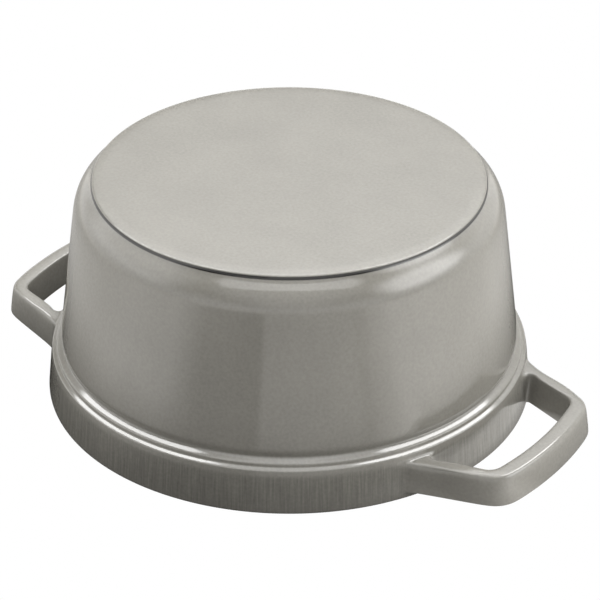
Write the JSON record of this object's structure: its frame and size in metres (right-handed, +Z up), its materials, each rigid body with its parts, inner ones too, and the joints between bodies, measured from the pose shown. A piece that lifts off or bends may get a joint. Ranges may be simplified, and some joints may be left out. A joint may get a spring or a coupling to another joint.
{
  "type": "dutch oven",
  "caption": "Round enamelled cast-iron dutch oven with cast loop handles, stored upside down over its own lid; the pot lifts off the lid, which has a knob and basting spikes.",
  "frame": {"origin": "centre of the rim plane of the upturned pot, on the surface that the pot and the lid lie on", "axes": "+Z up, out of the pot's base; +X along the loop handles"},
  "size_m": [0.278, 0.2138, 0.1013],
  "materials": {
    "grey_enamel": "glossy enamel",
    "black_enamel": "matt enamel",
    "polished_steel": "polished",
    "zinc_steel": "zinc plated"
  },
  "bodies": {
    "lid": {"lid_casting": "grey_enamel", "lid_lining": "black_enamel", "lid_knob": "polished_steel", "knob_screw": "zinc_steel", "screw_washer": "zinc_steel", "spring_washer": "zinc_steel"},
    "pot": {"pot_casting": "grey_enamel", "pot_lining": "black_enamel"}
  },
  "joints": [
    {"name": "pot_lift", "type": "slide", "parent": "lid", "child": "pot", "axis": [0, 0, 1], "range_m": [0, 0.15]}
  ]
}
